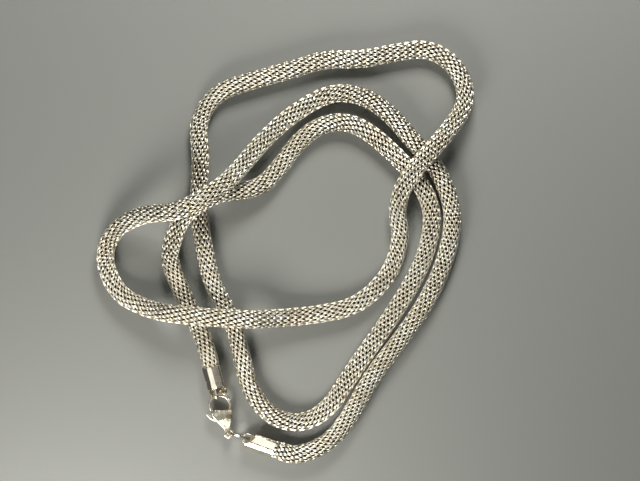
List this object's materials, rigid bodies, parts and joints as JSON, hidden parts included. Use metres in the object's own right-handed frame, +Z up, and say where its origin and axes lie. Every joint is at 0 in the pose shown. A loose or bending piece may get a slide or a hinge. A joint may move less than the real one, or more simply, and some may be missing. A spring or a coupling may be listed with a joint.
{
  "type": "popcorn chain necklace",
  "caption": "Long woven silver-coloured popcorn chain with folded end caps and a fastened lobster clasp, lying in loose overlapping loops.",
  "frame": {"origin": "middle of the base of the box round the whole necklace, on the surface that it lies on", "axes": "+Z up from that surface, +Y up the picture and along the longest extent, +X to the picture's right"},
  "size_m": [0.1034, 0.1157, 0.0158],
  "materials": {
    "woven_wire": "bright drawn wire, woven, slightly warm silver",
    "cap_metal": "polished sheet with soft scuffs",
    "clasp_metal": "polished casting, slightly worn",
    "ring_wire": "polished round wire"
  },
  "bodies": {
    "necklace": {"chain_a": "woven_wire", "chain_b": "woven_wire", "end_cap_a": "cap_metal", "end_cap_b": "cap_metal", "clasp_body": "clasp_metal", "clasp_rivet": "clasp_metal", "jump_ring": "ring_wire"},
    "lever": {"clasp_lever": "clasp_metal"}
  },
  "joints": [
    {"name": "lever_open", "type": "hinge", "parent": "necklace", "child": "lever", "pos_m": [-0.01538, -0.04481, 0.00237], "axis": [0.0125, -0.0418, 0.999], "range_deg": [0, 20], "stiffness_Nm_per_rad": 0.005, "springref_deg": -11.46}
  ]
}
